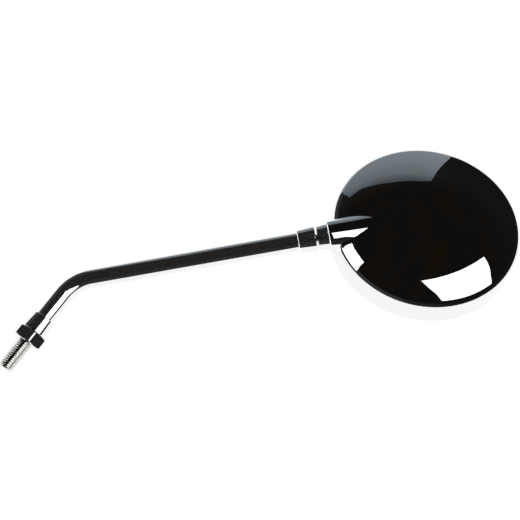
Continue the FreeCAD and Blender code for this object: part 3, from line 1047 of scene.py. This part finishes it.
def tent_shape(shape):
    """Part of a sphere about the head, open on the glass side."""
    bmesh.ops.create_uvsphere(shape, u_segments=TENT_SEGMENTS, v_segments=TENT_RINGS, radius=TENT_RADIUS,
                              matrix=axis_place(HEAD, DOME))
    edge = along_axis(TENT_TILT) * TENT_RADIUS
    outside = [vert for vert in shape.verts if (vert.co - HEAD).dot(DOME) < edge]
    bmesh.ops.delete(shape, geom=outside, context="VERTS")


tent = stage_mesh("black_tent", tent_shape)
cloth_material, cloth = new_finish("tent_cloth")
# painted light: warm glints in streaks, and a brighter glow towards the tent's edge
fold_glints = cloth.step(cloth.noise(cloth.place(FOLD_SCALE), 1, 3), *FOLD_SPREAD)
middle = cloth.step(rise(cloth), along_axis(EDGE_TILT), along_axis(FOLD_TILT))
edge = cloth.node("ShaderNodeValToRGB", {"stops": EDGE_GLOW_STOPS}, {"Fac": rise(cloth, TO_STEM) + ABREAST})
cloth.surface(cloth.node("ShaderNodeEmission", {}, {
    "Color": cloth.blend(middle, edge, cloth.blend(fold_glints, CLOTH, CLOTH_FOLD_GLINT)), "Strength": 1.0}))
tent.data.materials.append(cloth_material)
reflected_only(tent)
print("Tent has", len(tent.data.polygons), "faces")

# %% [markdown]
# ## Soft boxes
# The large box on the right gives the dome its bright window. One on the stem's side gives the short
# window beside the neck, and reaches on into the dome's rounded shoulder. Only the head sees that one.

# %% Soft boxes
BOX_STRENGTH = 1.5
RIGHT_BOX = [                       # tilts and turns of its corners and, between them, of its bows
    (13, 100.5), (24.5, 158.5), (42.5, 182.5), (45.5, 174),
    (46.5, 164.5), (38.5, 146.5), (31, 122.5), (22.5, 114.5)]
LEFT_BOX = [                        # tilts and turns round its edge
    (76, -14), (63, -16), (53, -20), (43, -27), (40.5, -29), (38, -32.5), (35.5, -27), (33, -22),
    (31, -17), (29, -11.5), (31, -8), (33.5, -4), (44, 4), (55, 8), (66, 11), (77, 12)]

bright = glow("soft_box", BOX_STRENGTH)
card("right_box", bowed(RIGHT_BOX), bright)
left_box = card("left_box", [studio_place(*place) for place in LEFT_BOX], bright)
shown_on(left_box, nodes["housing_shell"])
print("Two soft boxes hang in the tent")

# %% [markdown]
# ## The grey wall
# Overhead the dark room opens on a grey wall, which is darker low down. One card carries it, and a colour
# ramp over its height gives the levels of grey.

# %% Wall
WALL_LOW = 58                       # degrees from the dome's axis, its dark end
WALL_HIGH = 101
WALL_DISTANCE = 1.6
WALL_TINT = (0.88, 1.0, 1.08)
WALL_EDGE = [                       # tilts and turns
    (58.5, -67), (59.5, -75.5), (56.5, -92), (57, -108.5), (58.5, -113.5), (69, -115.5),
    (87.5, -119), (101, -121), (101, -95), (101, -62), (80, -64), (64, -67.5)]
WALL_LEVELS = [                     # places from its dark end to its bright one, and their levels
    (0, 0.075), (0.12, 0.15), (0.3, 0.19), (0.64, 0.235), (0.86, 0.335), (1, 0.5)]

wall_material, wall = new_finish("grey_wall")
height = wall.node("ShaderNodeMapRange", {}, {
    "Value": rise(wall), "From Min": along_axis(WALL_LOW), "From Max": along_axis(WALL_HIGH)})
levels = [(position, (*(level * tint for tint in WALL_TINT), 1)) for position, level in WALL_LEVELS]
paint = wall.node("ShaderNodeValToRGB", {"stops": levels}, {"Fac": height})
wall.surface(wall.node("ShaderNodeEmission", {}, {"Color": paint, "Strength": 1.0}))
card("top_wall", [studio_place(*place, WALL_DISTANCE) for place in WALL_EDGE], wall_material)
print("Wall has", len(levels), "levels of grey")

# %% [markdown]
# ## Screens for the foot of the stem
# Some bright marks belong to a few pieces alone, such as the stripe up the foot of the stem and the glints
# on the thread. Light linking gives each its own box, which the other pieces don't see. These two are
# curved screens round the stud's axis, so that they stay at one distance from it.

# %% Curved screens
SCREEN_REACH = 0.5
STEM_BOX = [                        # height, then the screen's two ends in degrees from +X
    (-0.245, -24, -20), (-0.212, -32, -14), (-0.066, -40, -4), (0.000, -50, -4), (0.060, -57, -4),
    (0.110, -60, -4), (0.135, -56, -4), (0.150, -48, -4), (0.43, -48, -4)]
STUD_BOX = [(0.09, -178, -118), (0.50, -178, -118)]


def screen(name, rows, material):
    """Curved card round the stud's axis."""
    def build(shape):
        grid = []
        for height, first, last in rows:
            row = []
            for step in range(BOW_STEPS + 1):
                angle = math.radians(first + (last - first) * step / BOW_STEPS)
                across = Vector((math.cos(angle), math.sin(angle), 0)) * SCREEN_REACH
                row.append(shape.verts.new(across + UP * height))
            grid.append(row)
        for low, high in zip(grid, grid[1:]):
            for a, b, c, d in zip(low, low[1:], high[1:], high):
                shape.faces.new((a, b, c, d))

    thing = stage_mesh(name, build)
    thing.data.materials.append(material)
    reflected_only(thing)
    return thing


stem_box = screen("stem_box", STEM_BOX, bright)
shown_on(stem_box, tube, collar, nut, stud)
stud_box = screen("stud_box", STUD_BOX, bright)
shown_on(stud_box, stud)
print("Screens hang", SCREEN_REACH, "m from the stud's axis")

# %% [markdown]
# ## Boxes for the neck and the rings
# The neck has a bright stripe of its own, and thin bright rings show where the ferrule and the neck end.
# The stripe comes from a card near the neck, and the rings from a disc down the stem's axis, which only
# the edges that face along the stem can see.

# %% Boxes for the neck and the rings
NECK_MIDDLE = 0.013                 # from the mouth, along the neck
NECK_BOX = [                        # corners of the card, from the neck's middle
    (0.045, -0.306, -0.038), (0.064, -0.306, -0.005), (0.136, -0.259, -0.109),
    (0.180, -0.179, -0.181), (0.158, -0.211, -0.165), (0.157, -0.197, -0.183)]
END_BOX_RADIUS = 0.8
END_BOX_DISTANCE = 0.6              # from the ball, down the stem
END_BOX_STEPS = 48

neck_middle = mouth_centre + neck_axis * NECK_MIDDLE
neck_box = card("neck_box", [neck_middle + Vector(corner) for corner in NECK_BOX], bright)
shown_on(neck_box, neck)
end_box = stage_mesh("end_box", lambda shape: bmesh.ops.create_circle(
    shape, cap_ends=True, segments=END_BOX_STEPS, radius=END_BOX_RADIUS,
    matrix=axis_place(BALL - STEM * END_BOX_DISTANCE, STEM)))
end_box.data.materials.append(bright)
reflected_only(end_box)
shown_on(end_box, ferrule, neck)

# %% [markdown]
# ## Light
# Matt surfaces need real lamps: a broad key from above and in front, and a weaker fill on the glass side.
# They are hidden from shiny surfaces, which have the cards.

# %% Lamps
def lamp(name, place, aim, size, power):
    """Broad square lamp that points at a place."""
    data = bpy.data.lights.new(name, "AREA")
    data.shape = "SQUARE"
    data.size = size
    data.energy = power
    thing = bpy.data.objects.new(name, data)
    thing.location = place
    thing.rotation_mode = "QUATERNION"
    thing.rotation_quaternion = (aim - Vector(place)).to_track_quat("-Z", "Y")
    thing.visible_glossy = False
    scene.collection.objects.link(thing)


lamp("key_lamp", place=(-0.5, -0.9, 1.1), aim=HEAD, size=0.9, power=9)
lamp("fill_lamp", place=(0.5, 0.9, 0.8), aim=HEAD, size=1.0, power=5)
print("Two lamps are lit")

# %% [markdown]
# ## Finish
# The colours are shown plainly, through the Standard view transform.

# %% View settings and the end
scene.view_settings.view_transform = "Standard"
